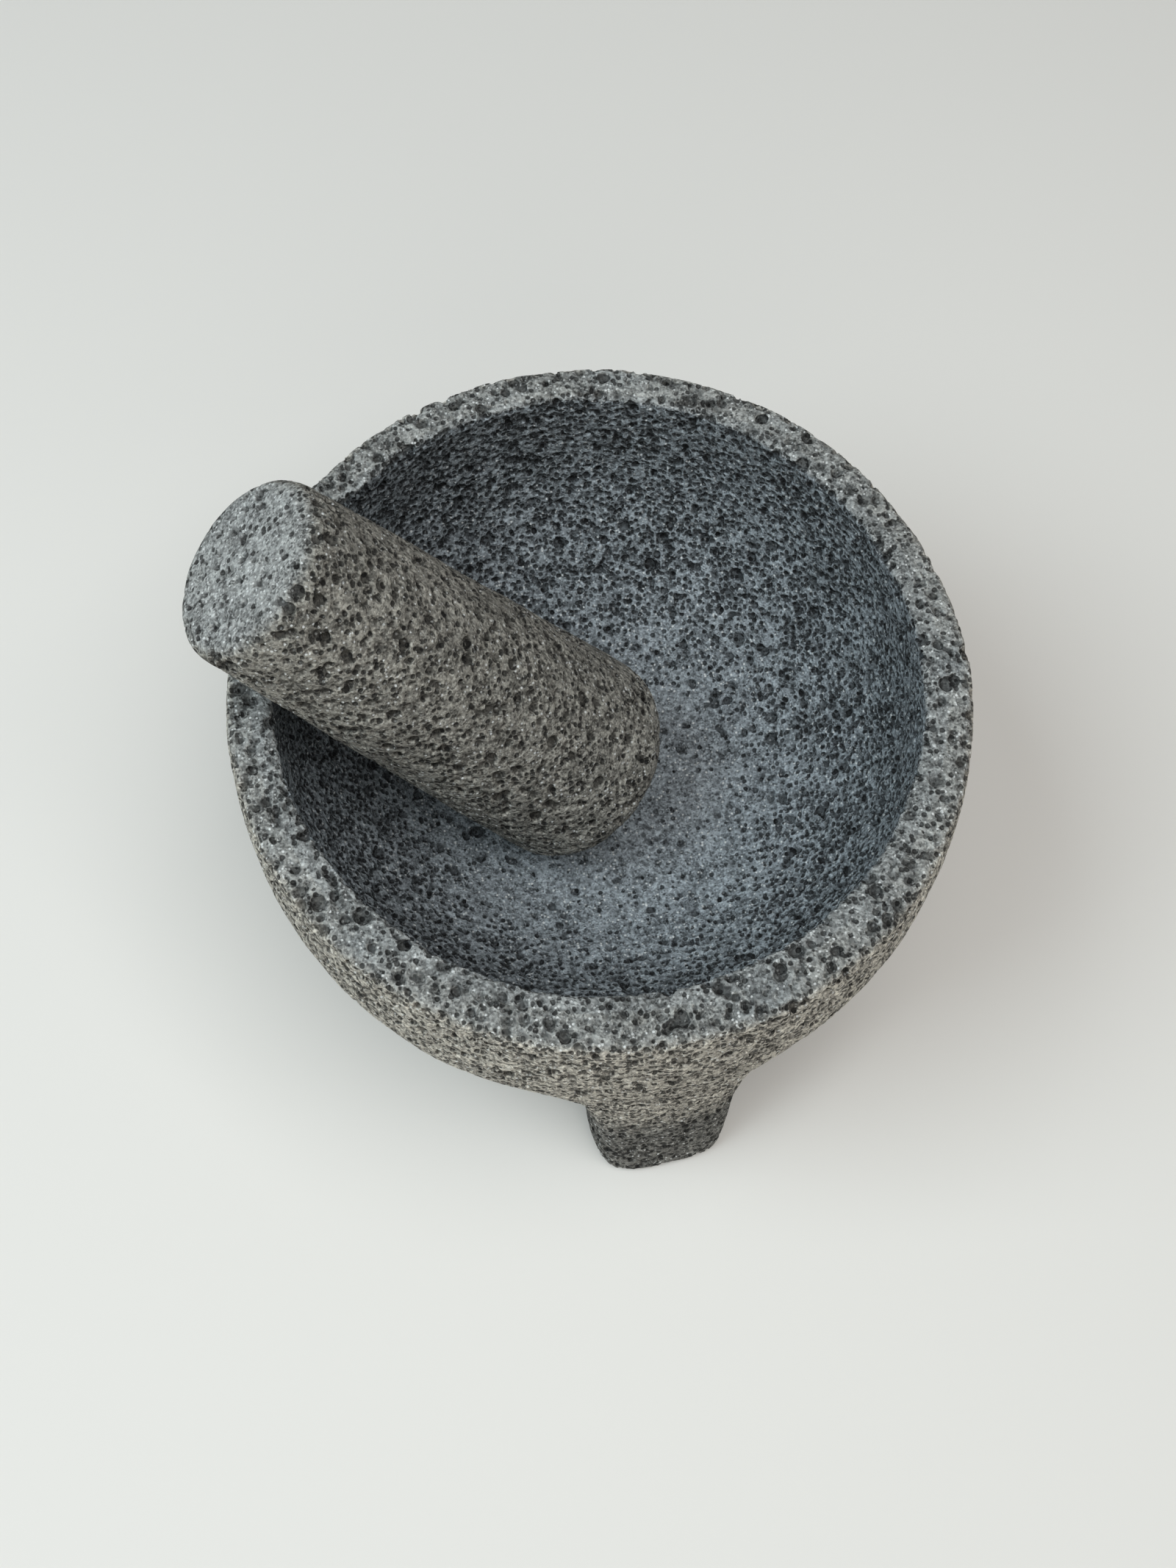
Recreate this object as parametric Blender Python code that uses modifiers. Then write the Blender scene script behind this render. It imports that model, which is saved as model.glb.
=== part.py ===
"""A three-legged mortar carved from one block of volcanic stone, with its pestle leaning in the bowl.

Metres, +Z up. The origin is under the middle of the bowl, on the surface that the feet stand on,
and the front leg points along -Y.
"""

import math

import bmesh
import bpy
from mathutils import Matrix, Vector
from mathutils.bvhtree import BVHTree

# Rim
RIM_WIDTH = 0.200        # outer edge, side to side
RIM_LENGTH = 0.206       # outer edge, front to back
RIM_HEIGHT = 0.125       # flat top above the surface that the feet stand on
RIM_THICKNESS = 0.0138   # flat top, at the sides
EDGE_ROUND = 0.0020      # softened edges of the rim and the feet

# Hollow: the rings that round its wall into its floor
BOWL_DEPTH = 0.081       # rim to floor
BOWL_SETBACK = 0.0018    # the hollow lies this far behind the middle, so the front rim is wider
WALL_DROP = 0.034        # upper wall, below the rim
WALL_SWELL = 0.0020      # upper wall, outside the rim's inner edge
HEEL_RISE = 0.021        # foot of the wall, above the floor
HEEL_INSET = 0.009       # foot of the wall, inside the rim's inner edge
FLOOR_RADIUS = 0.047

# Outside: the rings from the rim down to the base
BELLY_DROP = 0.030       # fullest part, below the rim
BELLY_SWELL = 0.0025     # fullest part, outside the rim's outer edge
SHOULDER_DROP = 0.060    # where the wall turns under, below the rim
SHOULDER_INSET = 0.001   # and inside the rim's outer edge
HAUNCH_DROP = 0.086      # underside that the legs grow from
HAUNCH_INSET = 0.022
BASE_THICKNESS = 0.017   # stone under the floor of the bowl
BASE_RADIUS = 0.046

# Legs
LEGS = 3
FOOT_SPLAY = 0.004       # outer edge of a foot, outside the rim's outer edge
FOOT_DEPTH = 0.033       # foot, from its outer edge inwards
FOOT_WIDTH = 0.040
KNEE_HEIGHT = 0.024      # section above the foot
KNEE_SPLAY = 0.001
KNEE_DEPTH = 0.041
KNEE_WIDTH = 0.046

# Pestle
PESTLE_LENGTH = 0.145
PESTLE_TOP_RADIUS = 0.0254
PESTLE_BASE_RADIUS = 0.0322
PESTLE_DOME = 0.014      # depth of the rounded grinding end
PESTLE_EDGE = 0.005      # rounded edge of the flat upper end
PESTLE_LEAN = 52.0       # degrees above level
PESTLE_HEADING = 166.5   # degrees from +X that its upper end points
PESTLE_ASIDE = 0.004     # its axis passes this far behind the middle of the bowl
SEAT_GAP = 0.0003        # clearance where the pestle rests on the mortar

# Mesh fineness and measuring
SIDES = 24               # columns of the mortar's cage, so that a leg takes two of them
CAP_SHARE = 0.4          # innermost ring of the floor and of the base, as a share of the ring around it
SUBDIVISIONS = 2
EDGE_STEPS = 2
PESTLE_SIDES = 48
BODY_STEPS = 12
ARC_STEPS = 5
SHARP_ANGLE = math.radians(40)
MERGE_DISTANCE = 0.00001 # closes the seam and the poles of the turned pestle
SEAT_TRIES = 24          # halvings when the pestle is lowered to its seat

GREY_STONE = (0.105, 0.108, 0.112, 1.0)
OLIVE_STONE = (0.125, 0.121, 0.108, 1.0)
STONE_ROUGHNESS = 0.9

floor_height = RIM_HEIGHT - BOWL_DEPTH
base_height = floor_height - BASE_THICKNESS
shoulder_height = RIM_HEIGHT - SHOULDER_DROP
rim_radius = RIM_WIDTH / 2
hollow_radius = rim_radius - RIM_THICKNESS


def clear_scene():
    for thing in list(bpy.data.objects):
        bpy.data.objects.remove(thing)


def stone(name, colour):
    material = bpy.data.materials.new(name)
    material.use_nodes = True
    shader = material.node_tree.nodes["Principled BSDF"]
    shader.inputs["Base Color"].default_value = colour
    shader.inputs["Roughness"].default_value = STONE_ROUGHNESS
    shader.inputs["Metallic"].default_value = 0.0
    return material


def new_object(name, bm, material, collection):
    mesh = bpy.data.meshes.new(name)
    bm.to_mesh(mesh)
    bm.free()
    mesh.materials.append(material)
    thing = bpy.data.objects.new(name, mesh)
    collection.objects.link(thing)
    return thing


def chain(bm, points):
    """A line of edges through points (radius, height) in the XZ plane."""
    verts = [bm.verts.new((radius, 0, height)) for radius, height in points]
    return verts + [bm.edges.new(pair) for pair in zip(verts, verts[1:])]


def hollow_profile():
    """The cage's rings as (radius, height), from the floor up to the rim's inner edge."""
    return (
        (FLOOR_RADIUS * CAP_SHARE, floor_height),
        (FLOOR_RADIUS, floor_height),
        (hollow_radius - HEEL_INSET, floor_height + HEEL_RISE),
        (hollow_radius + WALL_SWELL, RIM_HEIGHT - WALL_DROP),
        (hollow_radius, RIM_HEIGHT),
    )


def outside_profile():
    """The cage's rings as (radius, height), from the rim's outer edge down to the base."""
    return (
        (rim_radius, RIM_HEIGHT),
        (rim_radius + BELLY_SWELL, RIM_HEIGHT - BELLY_DROP),
        (rim_radius - SHOULDER_INSET, shoulder_height),
        (rim_radius - HAUNCH_INSET, RIM_HEIGHT - HAUNCH_DROP),
        (BASE_RADIUS, base_height),
        (BASE_RADIUS * CAP_SHARE, base_height),
    )


def spin(bm, profile):
    """Spins a profile round Z, with its first column on -Y."""
    held = 3 / (2 + math.cos(math.tau / SIDES))  # smoothing draws a ring in by this ratio
    line = chain(bm, [(radius * held, height) for radius, height in profile])
    verts = [part for part in line if isinstance(part, bmesh.types.BMVert)]
    bmesh.ops.rotate(bm, verts=verts, matrix=Matrix.Rotation(-math.pi / 2, 3, "Z"))
    bmesh.ops.spin(bm, geom=line, axis=(0, 0, 1), angle=math.tau, steps=SIDES, use_merge=True)


def open_edges(bm):
    return [edge for edge in bm.edges if edge.is_boundary]


def turned_cage(bm, crease):
    """The bowl without its legs: hollow and outside, joined over the rim, with floor and base closed."""
    spin(bm, hollow_profile())
    bmesh.ops.translate(bm, verts=bm.verts[:], vec=(0, BOWL_SETBACK, 0))
    spin(bm, outside_profile())
    top = RIM_HEIGHT - EDGE_ROUND
    rim = [edge for edge in open_edges(bm) if min(vert.co.z for vert in edge.verts) > top]
    for edge in rim:
        edge[crease] = 1.0
    bmesh.ops.bridge_loops(bm, edges=rim)
    bmesh.ops.holes_fill(bm, edges=open_edges(bm), sides=SIDES)
    bmesh.ops.recalc_face_normals(bm, faces=bm.faces[:])


def leg_section(splay, depth, width, height):
    """Nine points of a leg's section on -Y: three rows from the outer edge inwards, three across."""
    outer = rim_radius + splay
    return [
        Vector((side * width / 2, row * depth / 2 - outer, height))
        for row in range(3)
        for side in (-1, 0, 1)
    ]


def leg_root(bm, back):
    """The four faces of the underside, two columns wide, that a leg turned to -Y grows from."""
    faces = []
    for face in bm.faces:
        middle = back @ face.calc_center_median()
        under = base_height + EDGE_ROUND < middle.z < shoulder_height and face.normal.z < 0
        if under and abs(math.atan2(middle.x, -middle.y)) < math.tau / SIDES:
            faces.append(face)
    return faces


def draw_leg(bm, crease, turn):
    """Extrudes the underside down into a leg, turned from -Y, and sharpens the edge of its sole."""
    back = turn.inverted()
    sole = leg_root(bm, back)
    for section in (
        leg_section(KNEE_SPLAY, KNEE_DEPTH, KNEE_WIDTH, KNEE_HEIGHT),
        leg_section(FOOT_SPLAY, FOOT_DEPTH, FOOT_WIDTH, 0.0),
    ):
        drawn = bmesh.ops.extrude_face_region(bm, geom=sole)["geom"]
        bmesh.ops.delete(bm, geom=sole, context="FACES")
        sole = [part for part in drawn if isinstance(part, bmesh.types.BMFace)]
        verts = [part for part in drawn if isinstance(part, bmesh.types.BMVert)]
        verts.sort(key=lambda vert: (back @ vert.co).y)
        for row in range(3):
            across = sorted(verts[3 * row : 3 * row + 3], key=lambda vert: (back @ vert.co).x)
            for vert, place in zip(across, section[3 * row : 3 * row + 3]):
                vert.co = turn @ place
    for edge in {edge for face in sole for edge in face.edges}:
        if sum(face in sole for face in edge.link_faces) == 1:
            edge[crease] = 1.0


def make_mortar(material, collection):
    bm = bmesh.new()
    crease = bm.edges.layers.float.new("crease_edge")
    turned_cage(bm, crease)
    for leg in range(LEGS):
        draw_leg(bm, crease, Matrix.Rotation(math.tau * leg / LEGS, 3, "Z"))
    bmesh.ops.scale(bm, vec=(1, RIM_LENGTH / RIM_WIDTH, 1), verts=bm.verts[:])
    bmesh.ops.recalc_face_normals(bm, faces=bm.faces[:])
    mortar = new_object("mortar", bm, material, collection)
    carved = mortar.modifiers.new("carved form", "SUBSURF")
    carved.levels = SUBDIVISIONS
    carved.render_levels = SUBDIVISIONS
    worn = mortar.modifiers.new("worn edges", "BEVEL")
    worn.width = EDGE_ROUND
    worn.segments = EDGE_STEPS
    worn.limit_method = "ANGLE"
    worn.angle_limit = SHARP_ANGLE
    mortar.data.shade_smooth()
    return mortar


def pestle_profile():
    """(radius, height) down the outer side, from the middle of the upper end to the grinding tip."""
    points = [(0, PESTLE_LENGTH)]
    for step in range(ARC_STEPS + 1):
        turn = math.pi / 2 * (1 - step / ARC_STEPS)
        points.append(
            (
                PESTLE_TOP_RADIUS - PESTLE_EDGE + PESTLE_EDGE * math.cos(turn),
                PESTLE_LENGTH - PESTLE_EDGE + PESTLE_EDGE * math.sin(turn),
            )
        )
    straight = PESTLE_LENGTH - PESTLE_EDGE - PESTLE_DOME
    for step in range(1, BODY_STEPS + 1):
        share = step / BODY_STEPS
        radius = PESTLE_TOP_RADIUS + (PESTLE_BASE_RADIUS - PESTLE_TOP_RADIUS) * share
        points.append((radius, PESTLE_LENGTH - PESTLE_EDGE - straight * share))
    for step in range(1, ARC_STEPS):
        turn = math.pi / 2 * step / ARC_STEPS
        points.append((PESTLE_BASE_RADIUS * math.cos(turn), PESTLE_DOME * (1 - math.sin(turn))))
    points.append((0, 0))
    return points


def make_pestle(material, collection):
    bm = bmesh.new()
    chain(bm, pestle_profile())
    pestle = new_object("pestle", bm, material, collection)
    turned = pestle.modifiers.new("turned", "SCREW")
    turned.steps = PESTLE_SIDES
    turned.render_steps = PESTLE_SIDES
    turned.use_merge_vertices = True
    turned.merge_threshold = MERGE_DISTANCE
    turned.use_smooth_shade = True
    return pestle


def surface_of(thing, graph):
    """The points of an object's finished surface, and a tree to measure distances to it."""
    mesh = thing.evaluated_get(graph).to_mesh()
    points = [vert.co.copy() for vert in mesh.vertices]
    thing.evaluated_get(graph).to_mesh_clear()
    return points, BVHTree.FromObject(thing, graph)


def least_gap(points, matrix, tree):
    """The smallest distance from the placed points to the tree's surface, below zero inside it."""
    least = math.inf
    for point in points:
        place = matrix @ point
        near, normal, _, distance = tree.find_nearest(place)
        least = min(least, math.copysign(distance, (place - near).dot(normal)))
    return least


def bisect(clear, near, far):
    """The value between near, which is clear, and far, which isn't, where the gap closes to its seat."""
    for _ in range(SEAT_TRIES):
        middle = (near + far) / 2
        if clear(middle) > SEAT_GAP:
            near = middle
        else:
            far = middle
    return near


def seat_pestle(pestle, mortar):
    """Stands the pestle on the floor of the bowl, leaning against the inner edge of the rim."""
    graph = bpy.context.evaluated_depsgraph_get()
    pestle_points, pestle_tree = surface_of(pestle, graph)
    mortar_points, mortar_tree = surface_of(mortar, graph)
    grinding_end = [point for point in pestle_points if point.z < 2 * PESTLE_DOME]
    rim_edge = [point for point in mortar_points if point.z > RIM_HEIGHT - 2 * EDGE_ROUND]
    heading = math.radians(PESTLE_HEADING)
    outward = Vector((math.cos(heading), math.sin(heading), 0))
    leaned = Matrix.Rotation(math.pi / 2 - math.radians(PESTLE_LEAN), 4, "Y")
    turned = Matrix.Rotation(heading, 4, "Z") @ leaned

    def placed(reach, height):
        return Matrix.Translation(outward * reach + Vector((0, PESTLE_ASIDE, height))) @ turned

    def standing(reach):
        def over_floor(drop):
            return least_gap(grinding_end, placed(reach, RIM_HEIGHT - drop), mortar_tree)

        return placed(reach, RIM_HEIGHT - bisect(over_floor, 0, BOWL_DEPTH))

    def off_rim(reach):
        return least_gap(rim_edge, standing(reach).inverted(), pestle_tree)

    pestle.matrix_world = standing(bisect(off_rim, -FLOOR_RADIUS, FLOOR_RADIUS))


clear_scene()
parts = bpy.data.collections.new("mortar and pestle")
bpy.context.scene.collection.children.link(parts)
mortar = make_mortar(stone("grey stone", GREY_STONE), parts)
pestle = make_pestle(stone("olive stone", OLIVE_STONE), parts)
seat_pestle(pestle, mortar)
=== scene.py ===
"""Looks of a three-legged mortar of pitted volcanic stone, with its pestle leaning in the bowl.

Metres, +Z up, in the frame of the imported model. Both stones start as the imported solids. Each becomes a
field of distances to its surface, gas bubbles are cut out of the field, and the carved surface is taken
back to a mesh and sawn into pieces that meet without a gap.
"""

import math

import bmesh
import bpy
import numpy as np
import openvdb
from mathutils import Matrix, Vector


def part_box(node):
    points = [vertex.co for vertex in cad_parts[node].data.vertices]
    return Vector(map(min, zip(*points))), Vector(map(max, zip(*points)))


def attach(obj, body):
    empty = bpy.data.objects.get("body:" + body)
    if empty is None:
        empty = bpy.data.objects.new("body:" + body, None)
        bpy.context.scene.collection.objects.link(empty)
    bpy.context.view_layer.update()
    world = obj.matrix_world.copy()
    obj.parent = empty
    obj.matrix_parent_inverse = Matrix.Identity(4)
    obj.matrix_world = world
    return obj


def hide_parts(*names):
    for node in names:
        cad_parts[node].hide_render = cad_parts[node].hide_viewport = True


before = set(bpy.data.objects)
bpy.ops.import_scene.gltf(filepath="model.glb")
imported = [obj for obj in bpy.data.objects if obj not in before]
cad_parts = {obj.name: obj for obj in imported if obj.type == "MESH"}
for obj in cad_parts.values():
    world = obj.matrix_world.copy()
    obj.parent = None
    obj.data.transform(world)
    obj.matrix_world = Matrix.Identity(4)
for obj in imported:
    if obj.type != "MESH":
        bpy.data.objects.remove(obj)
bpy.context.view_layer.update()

# Fineness
VOXEL = 0.0007
BAND = 6                 # voxels on each side of the surface that hold true distances
SEED = 7

# The hand-dressed surface
SOFTENING = 5            # passes that round off the facets of the solids
HILLS = ((0.016, 0.0006), (0.006, 0.0003))  # spacing and height of what the chisel left uneven

# Bubbles of each size: least and greatest radius, then pits per square metre of each zone
RIM, OUTSIDE, WALL, FLOOR = range(4)  # zones of the mortar; wall and floor are those of the hollow
MORTAR_BUBBLES = (
    (0.0014, 0.0021, (2.4e4, 1.2e4, 0.9e4, 0.1e4)),
    (0.0009, 0.0014, (10.0e4, 11.0e4, 11.0e4, 1.0e4)),
    (0.0006, 0.0009, (20.0e4, 44.0e4, 70.0e4, 18.0e4)),
)
SIDE, GRIP_END = range(2)             # zones of the pestle
PESTLE_BUBBLES = (
    (0.0014, 0.0022, (1.3e4, 0.6e4)),
    (0.0009, 0.0014, (5.4e4, 2.6e4)),
    (0.0006, 0.0009, (32.0e4, 10.0e4)),
)
DEEPEST = 0.50           # a bubble's middle lies up to this share of its radius inside the surface
SHALLOWEST = 0.60        # and up to this share outside it
LEAST_STRETCH = 0.75     # bubbles are drawn out a little
MOST_STRETCH = 1.30
APART = 1.45             # a bubble's middle is at least this many radii away from an earlier one's

# Zones of the mortar, as seen from the middle of the rim
SHELL_MIDDLE = 0.0925    # distance of the shell's middle, between hollow and outside
SHELL_BULGE = 0.013      # and how much farther it is halfway down
FLOOR_ANGLE = 38.0       # degrees from straight down that the pestle has worn smooth
FLOOR_BLEND = 10.0       # degrees over which the worn floor gives way to the wall
RIM_FADE = 0.0025        # height over which the rim gives way to the wall
FOOT_TOP = 0.055         # the outside darkens below this height, partly as painted shade under the bowl's belly
FOOT_FADE = 0.020        # over this height

# Share of the small cells in the stone that are open holes
WALL_HOLES = 0.95
WORN_HOLES = 0.12
OUTSIDE_HOLES = 0.80
RIM_HOLES = 0.30
PESTLE_HOLES = 0.45
GRIP_END_HOLES = 0.20

# Sizes of the stone's fine texture, which only the material has
BLOTCH = 0.008           # clouds of paler and darker stone
CREST = 0.0014           # rough crests between the pits, painted lighter: partly wear, partly painted light on raised parts
GRAIN = 0.00055          # ground crystal
HOLE_CELL = 0.0017       # one small hole in each open cell
SPECK_CELL = 0.0009      # one dark speck in some cells
CRYSTAL_CELL = 0.00085   # one bright crystal in a few cells, partly a painted glint
RAGGED_SIZE = 0.0009     # unevenness along the edges of holes and specks
RAGGED_DEPTH = 0.24      # and how far it shifts them, in cells
NOISE_DETAIL = 3.0       # finer layers in blotches and crests

# Two values between which each part of the texture comes in or gives out
BLOTCH_RANGE = (0.30, 0.70)       # of noise
CREST_RANGE = (0.34, 0.66)
OPEN_RANGE = (-0.06, 0.0)         # of a cell's chance less the share of open cells
SPECK_CHANCE = (0.50, 0.60)       # of a cell's chance
CRYSTAL_CHANCE = (0.88, 0.91)
HOLE_EDGE = (0.52, 0.63)          # of the distance from a cell's middle
DIP_EDGE = (0.18, 0.68)
SPECK_EDGE = (0.36, 0.56)
CRYSTAL_EDGE = (0.32, 0.50)
PIT_RANGE = (0.00010, 0.00095)    # of the depth in a pit, darker deeper in: partly the dark unground stone inside, partly painted shade

# What each part takes from the tone or adds to it; the darkening of pits, holes and specks is partly
# painted shade in them
PIT_SHADE = 0.72
HOLE_SHADE = 0.76
SPECK_SHADE = 0.50
GRAIN_LIGHT = 0.90
CREST_LIGHT = 0.60
BLOTCH_LIGHT = 0.45
PLAIN_LIGHT = 0.21
CRYSTAL_LIGHT = 0.85

# Relief of the fine texture
BUMP_HEIGHT = 0.0010
BUMP_STRENGTH = 0.9
GRAIN_RELIEF = 0.18
CREST_RELIEF = 0.30
DIP_RELIEF = 0.90
SPECK_RELIEF = 0.25

# Sheen
STONE_SPECULAR = 0.30
STONE_ROUGHNESS = 0.92
CRYSTAL_GLOSS = 0.55     # a crystal is this much smoother

# Pieces, and their places on the map that the bake uses
MORTAR_SLABS = 10        # side by side along X, with about as many faces each
LEGS = 3
LEG_TOP = 0.024          # legs are flattened by themselves below this height
LEG_REACH = 0.0875       # middle of a foot, from the middle of the bowl
LEG_RADIUS = 0.018
MAP_MARGIN = 0.006       # bare strip round each part of the map
MILLIMETRES = 1000       # in a metre
CUT_WIDTH = 1e-4         # millimetres within which points of a cut are one
LEAST_LENGTH = 1e-12     # of a normal before it is brought to length 1

# The pestle's stance
PESTLE_LEAN = 52.0       # degrees above level
PESTLE_HEADING = 166.5   # degrees from +X that its upper end points
PESTLE_END = 0.020       # depth of each end on the bake's map

# Camera, fitted to the photograph
IMAGE_HEIGHT = 2133      # pixels
FOCAL_PIXELS = 2300
SENSOR = 36.0            # millimetres over the image's height
DISTANCE = 0.45105       # from the middle of the rim
ELEVATION = 62.0         # degrees, as are the turns below
AZIMUTH = 14.0
YAW = 0.277
PITCH = -3.655
ROLL = -2.136
NEAREST_SEEN = 0.01      # metres from the camera

# Soft lights that face the bowl: place, width, watts and colour
LIGHTS = {
    "window": ((-1.0, -0.1, 1.4), 1.0, 17.0, (0.82, 0.94, 1.0)),
    "overhead": ((0.3, -0.5, 2.0), 1.4, 23.5, (0.98, 0.99, 1.0)),
    "front": ((-0.1, -1.3, 0.7), 1.2, 3.6, (1.0, 0.97, 0.92)),
}

# Light from all round, and how bright its source looks
SKY_COLOUR = (1.0, 0.98, 0.94, 1.0)
SKY_LIGHT = 0.08
SKY_SEEN = 0.70

# The ground that the mortar stands on, which looks as bright as the sky far away
GROUND_HALF_WIDTH = 30.0
GROUND_DROP = 0.0002     # below the feet
GROUND_COLOUR = (0.78, 0.755, 0.71, 1.0)
GROUND_ROUGHNESS = 0.9
GLOW_STRENGTH = 1.0
GLOW_RANGE = (0.6, 3.0)  # from the middle, where the glow starts and where it is full
NO_GLOW = (0.0, 0.0, 0.0, 1.0)

mortar_low, mortar_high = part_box("mortar")
rim_height = mortar_high.z


class Wire:
    """A shader socket. Sums, differences and products of wires add Math nodes."""

    def __init__(self, tree, socket):
        self.tree = tree
        self.socket = socket

    def node(self, kind, inputs, output=0, **settings):
        """Adds a node, with its settings first and its inputs after them, and returns an output."""
        made = self.tree.nodes.new("ShaderNode" + kind)
        for name, value in settings.items():
            setattr(made, name, value)
        for key, value in inputs.items():
            if isinstance(value, Wire):
                self.tree.links.new(value.socket, made.inputs[key])
            else:
                made.inputs[key].default_value = value
        return Wire(self.tree, made.outputs[output])

    def maths(self, operation, first, second):
        return self.node("Math", {0: first, 1: second}, operation=operation)

    def __add__(self, other):
        return self.maths("ADD", self, other)

    def __sub__(self, other):
        return self.maths("SUBTRACT", self, other)

    def __rsub__(self, other):
        return self.maths("SUBTRACT", other, self)

    def __mul__(self, other):
        return self.maths("MULTIPLY", self, other)

    __radd__ = __add__
    __rmul__ = __mul__

    def rise(self, low, high):
        """0 below low, 1 above high, smooth between."""
        ends = {"Value": self, "From Min": low, "From Max": high}
        return self.node("MapRange", ends, interpolation_type="SMOOTHSTEP")

    def fall(self, low, high):
        return 1.0 - self.rise(low, high)

    def mix(self, first, second):
        """The first colour where this is 0, the second where it is 1."""
        return self.node("Mix", {0: self, 6: first, 7: second}, output=2, data_type="RGBA")

    def noise(self, size, detail=2.0):
        """Smooth noise whose blots are about that size in metres, with this wire as the place."""
        return self.node("TexNoise", {"Vector": self, "Scale": 1 / size, "Detail": detail})

    def cells(self, size):
        """Random cells of about that size: a chance from 0 to 1, and distance from a cell's middle."""
        chance = self.node("TexVoronoi", {"Vector": self, "Scale": 1 / size}, output="Color")
        distance = Wire(self.tree, chance.socket.node.outputs["Distance"])
        return chance.node("SeparateColor", {0: chance}), distance


def tint(level, red, blue):
    """A stone colour of that linear green level, with its red and blue as shares of the green."""
    return (level * red, level, level * blue, 1.0)


# Tones of the stones, some partly painted light and shade, and of the ground
grey_rim = tint(0.222, 0.95, 0.99)
# hollow: the grey is the stone's, its blue tint is painted sky light
hollow_grey_and_painted_skylight = tint(0.270, 0.90, 1.06)
# paler, warmer outside: partly the stone's tone, partly painted warm bounce light and front light
outside_grey_and_painted_bounce = tint(0.405, 1.06, 0.87)
# darker foot: partly the stone's own tone, partly painted shade under the bowl's belly
foot_grey_and_painted_shade = tint(0.158, 1.02, 0.91)
olive_end = tint(0.31, 0.97, 0.98)
olive_side = tint(0.24, 1.04, 0.88)
# pale crystals, partly painted glints
bright_crystal_and_painted_glint = tint(0.72, 0.98, 0.98)
ground_glow = tint(0.56, 1.02, 0.96)


def stone_material(name, rim, hollow, outside, foot):
    """Vesicular stone: ground crystal on the surface, dark pits, and a tone for each zone."""
    material = bpy.data.materials.new(name)
    material.use_nodes = True
    tree = material.node_tree
    shader = tree.nodes["Principled BSDF"]
    shader.inputs["Specular IOR Level"].default_value = STONE_SPECULAR
    coordinates = tree.nodes.new("ShaderNodeTexCoord")
    place = Wire(tree, coordinates.outputs["Object"])

    def attribute(label):
        return place.node("Attribute", {}, output="Fac", attribute_name=label)

    # the foot's darker tone is partly painted shade under the bowl's belly
    tone = attribute("foot").mix(outside, foot)
    tone = attribute("rim").mix(tone, rim)
    tone = attribute("hollow").mix(tone, hollow)
    blotches = place.noise(BLOTCH, NOISE_DETAIL).rise(*BLOTCH_RANGE)
    crests = place.noise(CREST, NOISE_DETAIL).rise(*CREST_RANGE)
    grain, _ = place.cells(GRAIN)
    ragged = place.noise(RAGGED_SIZE) * RAGGED_DEPTH
    chance, distance = place.cells(HOLE_CELL)
    open_cell = (chance - attribute("porous")).fall(*OPEN_RANGE)
    holes = (distance + ragged).fall(*HOLE_EDGE) * open_cell
    dips = (distance + ragged).fall(*DIP_EDGE) * open_cell
    chance, distance = place.cells(SPECK_CELL)
    specks = (distance + ragged).fall(*SPECK_EDGE) * chance.rise(*SPECK_CHANCE)
    # pits, small holes and specks darken the tone: partly the dark unground stone inside them, partly
    # painted shade in these recesses
    pits = attribute("pit_depth").rise(*PIT_RANGE)
    shade = (1.0 - pits * PIT_SHADE) * (1.0 - holes * HOLE_SHADE) * (1.0 - specks * SPECK_SHADE)
    # crests are lighter where the bump raises them: partly wear, partly painted light
    light = grain * grain * GRAIN_LIGHT + crests * CREST_LIGHT + blotches * BLOTCH_LIGHT + PLAIN_LIGHT
    tone = tone.node("VectorMath", {0: tone, "Scale": light * shade}, operation="SCALE")

    # bright crystal specks: partly pale crystals, partly painted glints
    chance, distance = place.cells(CRYSTAL_CELL)
    crystal = chance.rise(*CRYSTAL_CHANCE) * distance.fall(*CRYSTAL_EDGE) * shade
    tone = (crystal * CRYSTAL_LIGHT).mix(tone, bright_crystal_and_painted_glint)
    tree.links.new(tone.socket, shader.inputs["Base Color"])

    roughness = STONE_ROUGHNESS - crystal * CRYSTAL_GLOSS
    tree.links.new(roughness.socket, shader.inputs["Roughness"])

    height = grain * GRAIN_RELIEF + crests * CREST_RELIEF - dips * DIP_RELIEF - specks * SPECK_RELIEF
    relief = {"Height": height, "Distance": BUMP_HEIGHT, "Strength": BUMP_STRENGTH}
    bump = height.node("Bump", relief, output="Normal")
    tree.links.new(bump.socket, shader.inputs["Normal"])
    return material


def solid_points(node):
    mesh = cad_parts[node].data
    points = np.empty((len(mesh.vertices), 3), np.float32)
    mesh.vertices.foreach_get("co", points.ravel())
    return points


def stone_field(node):
    """Distances to a solid's surface on a grid, below zero inside, and the grid's first index."""
    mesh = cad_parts[node].data
    mesh.calc_loop_triangles()
    triangles = np.empty((len(mesh.loop_triangles), 3), np.int32)
    mesh.loop_triangles.foreach_get("vertices", triangles.ravel())
    spacing = openvdb.createLinearTransform(voxelSize=VOXEL)
    solid = openvdb.FloatGrid.createLevelSetFromPolygons(
        solid_points(node), triangles=triangles.astype(np.uint32), transform=spacing, halfWidth=BAND
    )
    low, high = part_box(node)
    first = np.floor(np.array(low) / VOXEL).astype(int) - BAND
    last = np.ceil(np.array(high) / VOXEL).astype(int) + BAND
    field = np.empty(last - first, np.float32)
    solid.copyToArray(field, ijk=tuple(int(number) for number in first))
    return field, first


def soften(field):
    for _ in range(SOFTENING):
        for axis in range(3):
            rows = np.moveaxis(field, axis, 0)
            rows[1:-1] = (rows[:-2] + 2 * rows[1:-1] + rows[2:]) / 4


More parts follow.
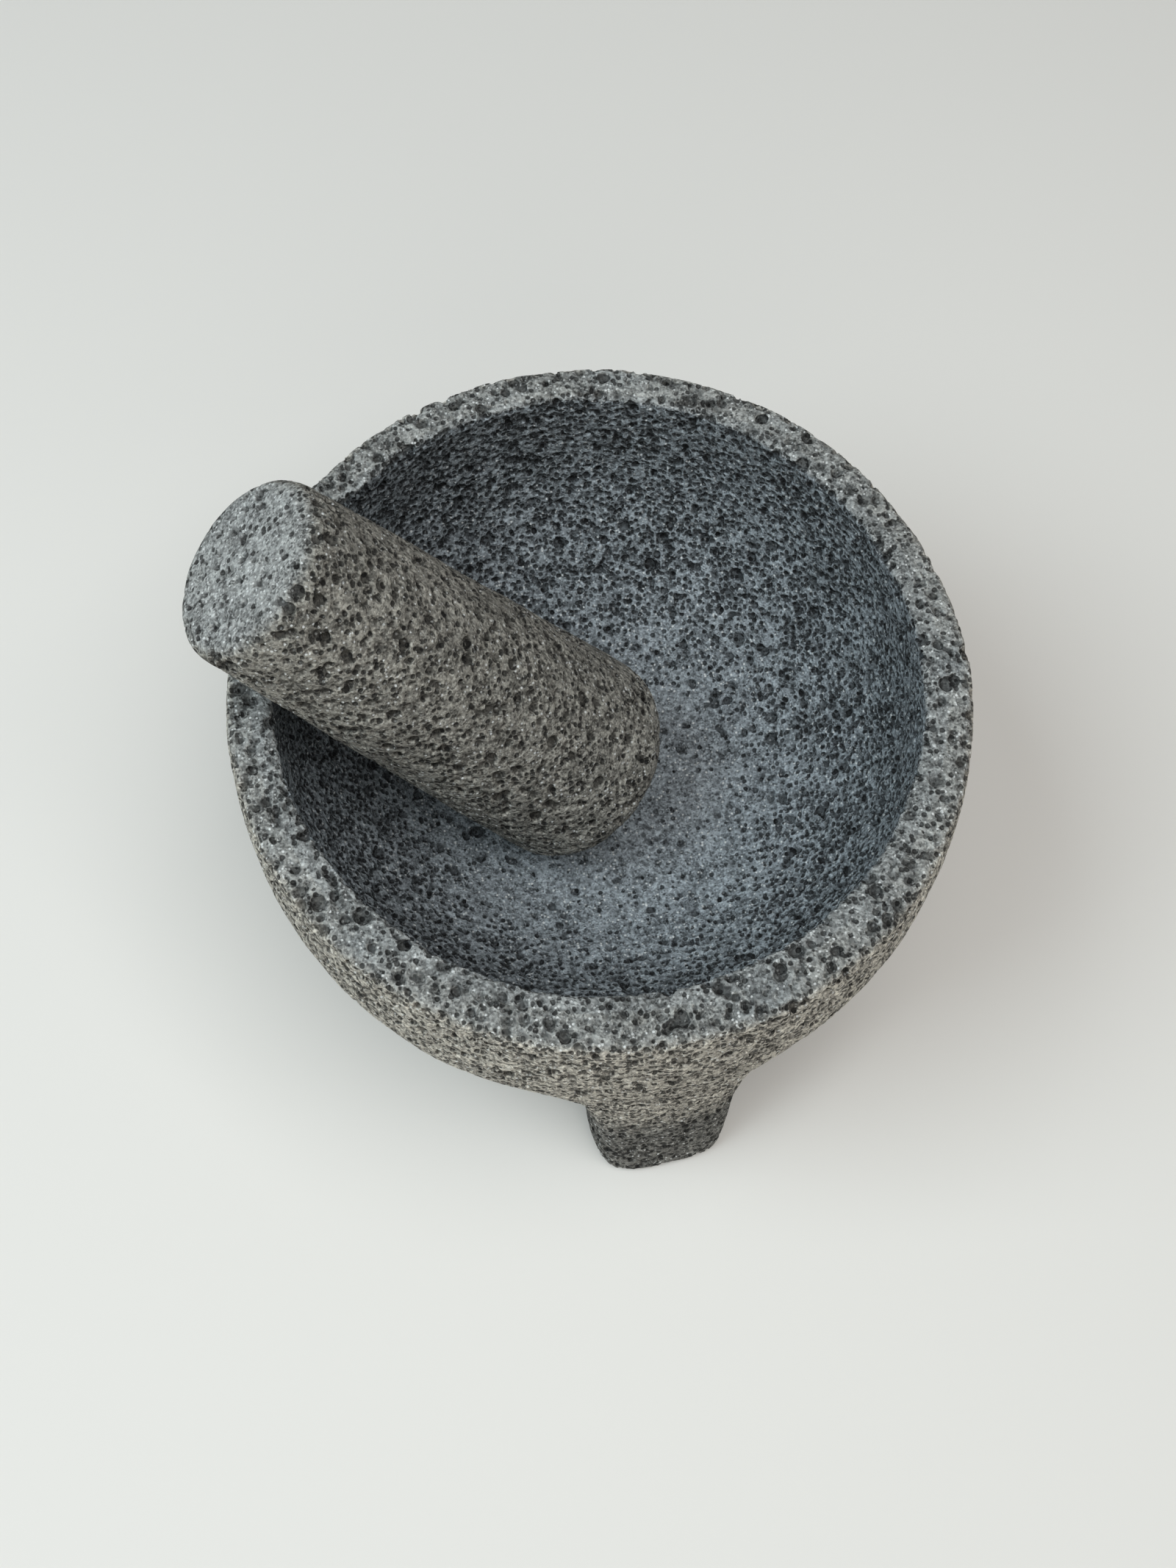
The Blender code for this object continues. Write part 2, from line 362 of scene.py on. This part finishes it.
def hills(shape, spacing, random):
    """Smooth random heights from 0 to 1 over a grid, with that spacing."""
    made = random.random([int(count * VOXEL / spacing) + 2 for count in shape], np.float32)
    for axis, count in enumerate(shape):
        at = np.arange(count) * VOXEL / spacing
        whole = at.astype(int)
        part = at - whole
        ease = (part * part * (3 - 2 * part)).astype(np.float32)
        ease = ease.reshape([-1 if other == axis else 1 for other in range(3)])
        near = made.take(whole, axis)
        made = near + (made.take(whole + 1, axis) - near) * ease
    return made


def dress(field, random):
    """Takes off the facets and leaves the surface a little uneven, always inside the solid."""
    soften(field)
    for spacing, height in HILLS:
        field += hills(field.shape, spacing, random) * height


def nearest(field, first, points):
    """The field's values at the voxels nearest to points."""
    index = np.rint(points / VOXEL).astype(int) - first
    return field[tuple(np.clip(index, 0, np.array(field.shape) - 1).T)]


def bubbles(field, first, least, greatest, per_area, random):
    """Middles and radii of the bubbles of one size that the surface cuts open."""
    size = np.array(field.shape) * VOXEL
    shell = (DEEPEST + SHALLOWEST) * (least + greatest) / 2
    count = int(per_area * size.prod() / shell)
    middles = (random.random((count, 3)) * size) + first * VOXEL
    radii = least + (greatest - least) * random.random(count) ** 2
    depth = -nearest(field, first, middles) / radii
    cut = (depth < DEEPEST) & (depth > -SHALLOWEST)
    return middles[cut], radii[cut]


def cut_bubble(field, taken, first, middle, radius, stretch):
    """Takes one drawn-out bubble from the stone, unless its middle lies too near another."""
    if taken[tuple(np.rint(middle / VOXEL).astype(int) - first)]:
        return
    reach = radius * APART / stretch + VOXEL
    start = np.maximum(np.floor((middle - reach) / VOXEL).astype(int) - first, 0)
    stop = np.ceil((middle + reach) / VOXEL).astype(int) + 1 - first
    region = tuple(map(slice, start, stop))
    block = field[region]
    across = [
        ((np.arange(count) + low) * VOXEL - centre) * factor
        for count, low, centre, factor in zip(block.shape, start + first, middle, stretch)
    ]
    x, y, z = np.ix_(*across)
    distance = np.sqrt(x * x + y * y + z * z)
    np.maximum(block, radius - distance, out=block)
    taken[region] |= distance < radius * APART


def carve(field, first, sizes, zone, random):
    """Cuts the bubbles out, the largest first, as many in each zone as it has pits."""
    taken = np.zeros(field.shape, bool)
    for least, greatest, densities in sizes:
        most = max(densities)
        middles, radii = bubbles(field, first, least, greatest, most, random)
        kept = random.random(len(radii)) < np.array(densities)[zone(middles, random)] / most
        stretches = random.uniform(LEAST_STRETCH, MOST_STRETCH, (len(radii), 3))
        for middle, radius, stretch in zip(middles[kept], radii[kept], stretches[kept]):
            cut_bubble(field, taken, first, middle, radius, stretch)


def largest_part(count, quads):
    """Which quads belong to the largest connected part, so that no crumb is left hanging."""
    label = np.arange(count)
    while True:
        labels = label[quads]
        low = labels.min(axis=1)
        lower = label.copy()
        for corner in labels.T:
            np.minimum.at(lower, corner, low)
        while (lower[lower] != lower).any():
            lower = lower[lower]
        if (lower == label).all():
            break
        label = lower
    owner = label[quads[:, 0]]
    return owner == np.bincount(owner).argmax()


def surface(field, first):
    """The field's zero surface as points and quads that face outwards."""
    grid = openvdb.FloatGrid(BAND * VOXEL)
    grid.copyFromArray(field, ijk=tuple(int(number) for number in first))
    grid.transform = openvdb.createLinearTransform(voxelSize=VOXEL)
    points, quads = grid.convertToQuads()
    quads = quads.astype(np.int64)
    quads = quads[largest_part(len(points), quads)]
    a, b, c = (points[quads[:, corner]].astype(float) for corner in range(3))
    if np.einsum("ij,ij->", a, np.cross(b, c)) < 0:
        quads = quads[:, ::-1]
    return points, quads


def whole_normals(points, quads):
    """Normals of the undivided surface, so that its pieces shade as one."""
    across = points[quads[:, 2]] - points[quads[:, 0]]
    along = points[quads[:, 3]] - points[quads[:, 1]]
    facing = np.cross(across, along)
    normals = np.zeros_like(points)
    for corner in quads.T:
        np.add.at(normals, corner, facing)
    return normals / np.maximum(np.linalg.norm(normals, axis=1, keepdims=True), LEAST_LENGTH)


def carved_stone(node, sizes, zone, marks):
    """Points, quads and what each point carries: normal, depth in a pit and the marks of its zone."""
    random = np.random.default_rng(SEED)
    field, first = stone_field(node)
    dress(field, random)
    uncut = field.copy()
    carve(field, first, sizes, zone, random)
    points, quads = surface(field, first)
    depth = np.maximum(-nearest(uncut, first, points), 0)
    carried = {"facing": whole_normals(points, quads), "pit_depth": depth, **marks(points, depth)}
    return points, quads, carried


def quad_mesh(name, points, quads):
    mesh = bpy.data.meshes.new(name)
    mesh.vertices.add(len(points))
    mesh.vertices.foreach_set("co", points.ravel())
    mesh.loops.add(quads.size)
    mesh.loops.foreach_set("vertex_index", quads.ravel().astype(np.int32))
    mesh.polygons.add(len(quads))
    mesh.polygons.foreach_set("loop_start", np.arange(0, quads.size, 4, dtype=np.int32))
    mesh.update(calc_edges=True)
    mesh.shade_smooth()
    return mesh


def close_cut(bm, points, outwards):
    """Fills the cut that runs through these points with flat triangles that face outwards."""
    bmesh.ops.remove_doubles(bm, verts=points, dist=CUT_WIDTH)
    ends = [point for point in points if point.is_valid]
    edges = list(dict.fromkeys(edge for end in ends for edge in end.link_edges if edge.is_boundary))
    filled = bmesh.ops.triangle_fill(bm, edges=edges, normal=outwards)
    for face in filled["geom"]:
        if isinstance(face, bmesh.types.BMFace):
            face.smooth = False
            if face.normal.dot(outwards) < 0:
                face.normal_flip()


def saw(mesh, direction, low, high):
    """Cuts a mesh at two places along a direction and closes the cuts with flat faces.

    It works in millimetres, because the fill takes points less than 0.00003 apart as one.
    """
    bm = bmesh.new()
    bm.from_mesh(mesh)
    bmesh.ops.scale(bm, vec=(MILLIMETRES,) * 3, verts=bm.verts)
    for place, outwards in ((low, -direction), (high, direction)):
        whole = bm.verts[:] + bm.edges[:] + bm.faces[:]
        start = direction * place * MILLIMETRES
        cut = bmesh.ops.bisect_plane(
            bm, geom=whole, dist=CUT_WIDTH, plane_co=start, plane_no=outwards, clear_outer=True
        )
        points = [part for part in cut["geom_cut"] if isinstance(part, bmesh.types.BMVert)]
        close_cut(bm, points, outwards)
    bmesh.ops.scale(bm, vec=(1 / MILLIMETRES,) * 3, verts=bm.verts)
    bm.to_mesh(mesh)
    bm.free()


def lay_out(parts, flat):
    """Sets the parts of a flattened piece side by side on the map, by their share of corners."""
    placed = np.zeros_like(flat)
    left = 0.0
    for part in np.unique(parts):
        inside = parts == part
        spot = flat[inside]
        low = spot.min(axis=0)
        share = inside.mean()
        room = np.array((share, 1.0)) - 2 * MAP_MARGIN
        spot = (spot - low) / (spot.max(axis=0) - low)
        placed[inside] = spot * room + MAP_MARGIN + np.array((left, 0.0))
        left += share
    return placed


def map_for_bake(mesh, unroll):
    """A flattened map of a piece, which leaves out the flat faces where it was sawn."""
    points = np.empty((len(mesh.vertices), 3), np.float32)
    mesh.vertices.foreach_get("co", points.ravel())
    corners = np.empty(len(mesh.loops), np.int32)
    mesh.loops.foreach_get("vertex_index", corners)
    counts = np.empty(len(mesh.polygons), np.int32)
    mesh.polygons.foreach_get("loop_total", counts)
    middles = np.empty((len(mesh.polygons), 3), np.float32)
    mesh.polygons.foreach_get("center", middles.ravel())
    shown = np.empty(len(mesh.polygons), bool)
    mesh.polygons.foreach_get("use_smooth", shown)
    face = np.repeat(np.arange(len(counts)), counts)
    seen = shown[face]
    flat = np.zeros((len(corners), 2), np.float32)
    flat[seen] = lay_out(*unroll(points[corners[seen]], middles[face[seen]]))
    mesh.uv_layers.new(name="OFBake").uv.foreach_set("vector", flat.ravel())


def make_piece(name, stone, direction, low, high, unroll, material, node):
    """The piece of a stone between two places along a direction."""
    points, quads, carried = stone
    along = (points @ np.array(direction, np.float32))[quads]
    chosen = (along.max(axis=1) > low) & (along.min(axis=1) < high)
    used, corners = np.unique(quads[chosen], return_inverse=True)
    mesh = quad_mesh(name, points[used], corners.reshape(-1, 4))
    for label, values in carried.items():
        kind, slot = ("FLOAT", "value") if values.ndim == 1 else ("FLOAT_VECTOR", "vector")
        layer = mesh.attributes.new(label, kind, "POINT")
        layer.data.foreach_set(slot, values[used].astype(np.float32).ravel())
    saw(mesh, direction, low, high)
    facing = np.empty((len(mesh.vertices), 3), np.float32)
    mesh.attributes["facing"].data.foreach_get("vector", facing.ravel())
    mesh.attributes.remove(mesh.attributes["facing"])
    map_for_bake(mesh, unroll)
    mesh.normals_split_custom_set_from_vertices(facing)
    mesh.materials.append(material)
    piece = bpy.data.objects.new(name, mesh)
    bpy.context.scene.collection.objects.link(piece)
    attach(piece, node)
    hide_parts(node)


def from_rim(points):
    """Angle below the rim's middle and distance from it, which tell hollow from outside."""
    across = np.hypot(points[:, 0], points[:, 1])
    down = rim_height - points[:, 2]
    return np.arctan2(across, down), np.hypot(across, down)


def within_shell(points):
    """True on the hollow's side of the shell's middle."""
    angle, distance = from_rim(points)
    return distance < SHELL_MIDDLE + SHELL_BULGE * np.sin(2 * angle)


def mortar_zone(points, random):
    angle, _ = from_rim(points)
    edge = random.normal(FLOOR_ANGLE, FLOOR_BLEND, len(points))
    inner = np.where(angle > np.radians(edge), WALL, FLOOR)
    zone = np.where(within_shell(points), inner, OUTSIDE)
    return np.where(points[:, 2] > rim_height - RIM_FADE, RIM, zone)


def mortar_marks(points, depth):
    """Shares of hollow, rim and foot at each point, and the share of small holes."""
    below = np.clip((rim_height - points[:, 2] - depth) / RIM_FADE, 0, 1)
    # the foot's darkening is partly painted shade under the bowl's belly
    foot = np.clip((FOOT_TOP - points[:, 2]) / FOOT_FADE, 0, 1)
    inside = within_shell(points)
    worn = np.clip((FLOOR_ANGLE - np.degrees(from_rim(points)[0])) / (2 * FLOOR_BLEND) + 0.5, 0, 1)
    hollow_holes = WALL_HOLES + (WORN_HOLES - WALL_HOLES) * worn
    porous = np.where(inside, hollow_holes, OUTSIDE_HOLES) * below + RIM_HOLES * (1 - below)
    return {"hollow": inside * below, "rim": 1 - below, "foot": foot, "porous": porous}


def turned(angles, near):
    """The same angles, each within half a turn of its neighbour in the other list."""
    return near + np.mod(angles - near + math.pi, math.tau) - math.pi


def unroll_mortar(corners, middles):
    """Flattens hollow and outside from the bowl's axis outwards, and legs round their own axes."""
    turn = np.arctan2(corners[:, 1], corners[:, 0])
    across = np.hypot(corners[:, 0], corners[:, 1])
    near_rim = np.clip(1 - (rim_height - corners[:, 2]) / RIM_FADE, 0, 1)
    reach = SHELL_MIDDLE * from_rim(corners)[0] + near_rim * (mortar_high.x - across)
    flat = np.stack((reach * np.cos(turn), reach * np.sin(turn)), axis=1)
    parts = np.where(within_shell(middles), 0, 1)

    step = math.tau / LEGS
    from_front = np.arctan2(middles[:, 1], middles[:, 0]) + math.pi / 2
    own = np.rint(from_front / step) * step - math.pi / 2
    axis = np.stack((np.cos(own), np.sin(own)), axis=1) * LEG_REACH
    away = corners[:, :2] - axis
    side = middles[:, :2] - axis
    middle_turn = turned(np.arctan2(side[:, 1], side[:, 0]), own)
    round_leg = turned(np.arctan2(away[:, 1], away[:, 0]), middle_turn)
    sole = np.minimum(np.hypot(away[:, 0], away[:, 1]) - LEG_RADIUS, 0)
    leg = middles[:, 2] < LEG_TOP
    flat[leg] = np.stack((round_leg * LEG_RADIUS, corners[:, 2] + sole), axis=1)[leg]
    parts[leg] = 2
    return parts, flat


def make_mortar(material):
    stone = carved_stone("mortar", MORTAR_BUBBLES, mortar_zone, mortar_marks)
    points, quads = stone[:2]
    across = points[quads[:, 0], 0]
    cuts = np.quantile(across, np.arange(MORTAR_SLABS + 1) / MORTAR_SLABS).tolist()
    cuts[0] = mortar_low.x - BAND * VOXEL
    cuts[-1] = mortar_high.x + BAND * VOXEL
    for number in range(MORTAR_SLABS):
        name = f"mortar_slab_{number + 1}"
        low, high = cuts[number:number + 2]
        make_piece(name, stone, Vector((1, 0, 0)), low, high, unroll_mortar, material, "mortar")


pestle_middle = solid_points("pestle").mean(axis=0)
pestle_turn = Matrix.Rotation(math.radians(PESTLE_HEADING), 3, "Z")
pestle_turn = pestle_turn @ Matrix.Rotation(math.radians(90 - PESTLE_LEAN), 3, "Y")


def along_pestle(points):
    """Place along the pestle's axis from its middle, distance from the axis and angle round it."""
    own = (points - pestle_middle) @ np.array(pestle_turn)
    return own[:, 2], np.hypot(own[:, 0], own[:, 1]), np.arctan2(own[:, 1], own[:, 0])


grip_end = along_pestle(solid_points("pestle"))[0].max()


def pestle_zone(points, _):
    """The same call as for the mortar, but nothing is drawn, because these zones don't blend."""
    return np.where(along_pestle(points)[0] > grip_end - RIM_FADE, GRIP_END, SIDE)


def pestle_marks(points, depth):
    """The upper end takes the rim's tone, and has fewer small holes."""
    below = np.clip((grip_end - along_pestle(points)[0] - depth) / RIM_FADE, 0, 1)
    porous = GRIP_END_HOLES + (PESTLE_HOLES - GRIP_END_HOLES) * below
    return {"rim": 1 - below, "porous": porous}


def unroll_pestle(corners, middles):
    """Flattens the pestle in two halves round its axis, with its ends drawn out past its sides."""
    height, radius, turn = along_pestle(corners)
    middle_turn = along_pestle(middles)[2]
    girth = radius.max()
    end = np.clip((np.abs(height) - np.abs(height).max() + PESTLE_END) / PESTLE_END, 0, 1)
    along = height + np.sign(height) * end * (girth - radius)
    flat = np.stack((turned(turn, middle_turn) * girth, along), axis=1)
    return np.where(middle_turn < 0, 0, 1), flat


def make_pestle(material):
    stone = carved_stone("pestle", PESTLE_BUBBLES, pestle_zone, pestle_marks)
    axis = pestle_turn @ Vector((0, 0, 1))
    middle = axis.dot(Vector(pestle_middle))
    past_end = grip_end * 2
    halves = (
        ("pestle_grip", middle, middle + past_end),
        ("pestle_grinding_end", middle - past_end, middle),
    )
    for name, low, high in halves:
        make_piece(name, stone, axis, low, high, unroll_pestle, material, "pestle")


def seen_directly(tree):
    """1 for rays from the camera, a mirror or glass, 0 for those that carry light."""
    ray = tree.nodes.new("ShaderNodeLightPath")
    kinds = ("Is Camera Ray", "Is Glossy Ray", "Is Transmission Ray")
    return sum(Wire(tree, ray.outputs[kind]) for kind in kinds).rise(0.0, 1.0)


def make_floor():
    """A wide pale floor that runs into the sky without a horizon."""
    bm = bmesh.new()
    bmesh.ops.create_grid(bm, x_segments=1, y_segments=1, size=GROUND_HALF_WIDTH)
    bmesh.ops.translate(bm, verts=bm.verts[:], vec=(0, 0, -GROUND_DROP))
    mesh = bpy.data.meshes.new("floor")
    bm.to_mesh(mesh)
    bm.free()
    material = bpy.data.materials.new("pale floor")
    material.use_nodes = True
    tree = material.node_tree
    shader = tree.nodes["Principled BSDF"]
    shader.inputs["Base Color"].default_value = GROUND_COLOUR
    shader.inputs["Roughness"].default_value = GROUND_ROUGHNESS
    shader.inputs["Emission Strength"].default_value = GLOW_STRENGTH
    coordinates = tree.nodes.new("ShaderNodeTexCoord")
    place = Wire(tree, coordinates.outputs["Object"])
    away = place.node("VectorMath", {0: place}, output="Value", operation="LENGTH")
    far = away.rise(*GLOW_RANGE) * seen_directly(tree)
    glow = far.mix(NO_GLOW, ground_glow)
    tree.links.new(glow.socket, shader.inputs["Emission Color"])
    mesh.materials.append(material)
    floor = bpy.data.objects.new("floor", mesh)
    bpy.context.scene.collection.objects.link(floor)


def add_light(name, place, size, power, colour):
    """A square soft light that faces the bowl."""
    lamp = bpy.data.lights.new(name, "AREA")
    lamp.size = size
    lamp.energy = power
    lamp.color = colour
    light = bpy.data.objects.new(name, lamp)
    light.location = place
    aim = Vector((0, 0, rim_height)) - light.location
    light.rotation_euler = aim.to_track_quat("-Z", "Y").to_euler()
    bpy.context.scene.collection.objects.link(light)


def set_light():
    for name, settings in LIGHTS.items():
        add_light(name, *settings)
    world = bpy.data.worlds.new("studio")
    world.use_nodes = True
    sky = world.node_tree.nodes["Background"]
    sky.inputs["Color"].default_value = SKY_COLOUR
    strength = SKY_LIGHT + seen_directly(world.node_tree) * (SKY_SEEN - SKY_LIGHT)
    world.node_tree.links.new(strength.socket, sky.inputs["Strength"])
    bpy.context.scene.world = world
    bpy.context.scene.view_settings.view_transform = "Standard"


def set_camera():
    """The photograph's camera: it circles the middle of the rim, then turns on its own axes."""
    lift = math.radians(ELEVATION)
    away = Vector((0, -math.cos(lift), math.sin(lift)))
    ahead = -away
    right = Vector((1, 0, 0))
    up = right.cross(ahead)
    for angle, axis in ((YAW, 1), (PITCH, 0), (ROLL, 2)):
        turn = Matrix.Rotation(math.radians(angle), 3, (right, up, ahead)[axis])
        right, up, ahead = turn @ right, turn @ up, turn @ ahead
    round_bowl = Matrix.Rotation(-math.radians(AZIMUTH), 3, "Z")
    lens = bpy.data.cameras.new("photograph")
    lens.sensor_fit = "VERTICAL"
    lens.sensor_height = SENSOR
    lens.lens = FOCAL_PIXELS / IMAGE_HEIGHT * SENSOR
    lens.clip_start = NEAREST_SEEN
    camera = bpy.data.objects.new("photograph", lens)
    axes = Matrix((right, up, -ahead)).transposed()
    camera.matrix_world = (round_bowl @ axes).to_4x4()
    camera.location = round_bowl @ (away * DISTANCE) + Vector((0, 0, rim_height))
    bpy.context.scene.collection.objects.link(camera)
    bpy.context.scene.camera = camera


set_camera()
set_light()
make_floor()
make_mortar(stone_material("grey stone", grey_rim, hollow_grey_and_painted_skylight, outside_grey_and_painted_bounce, foot_grey_and_painted_shade))
make_pestle(stone_material("olive stone", olive_end, olive_side, olive_side, olive_side))
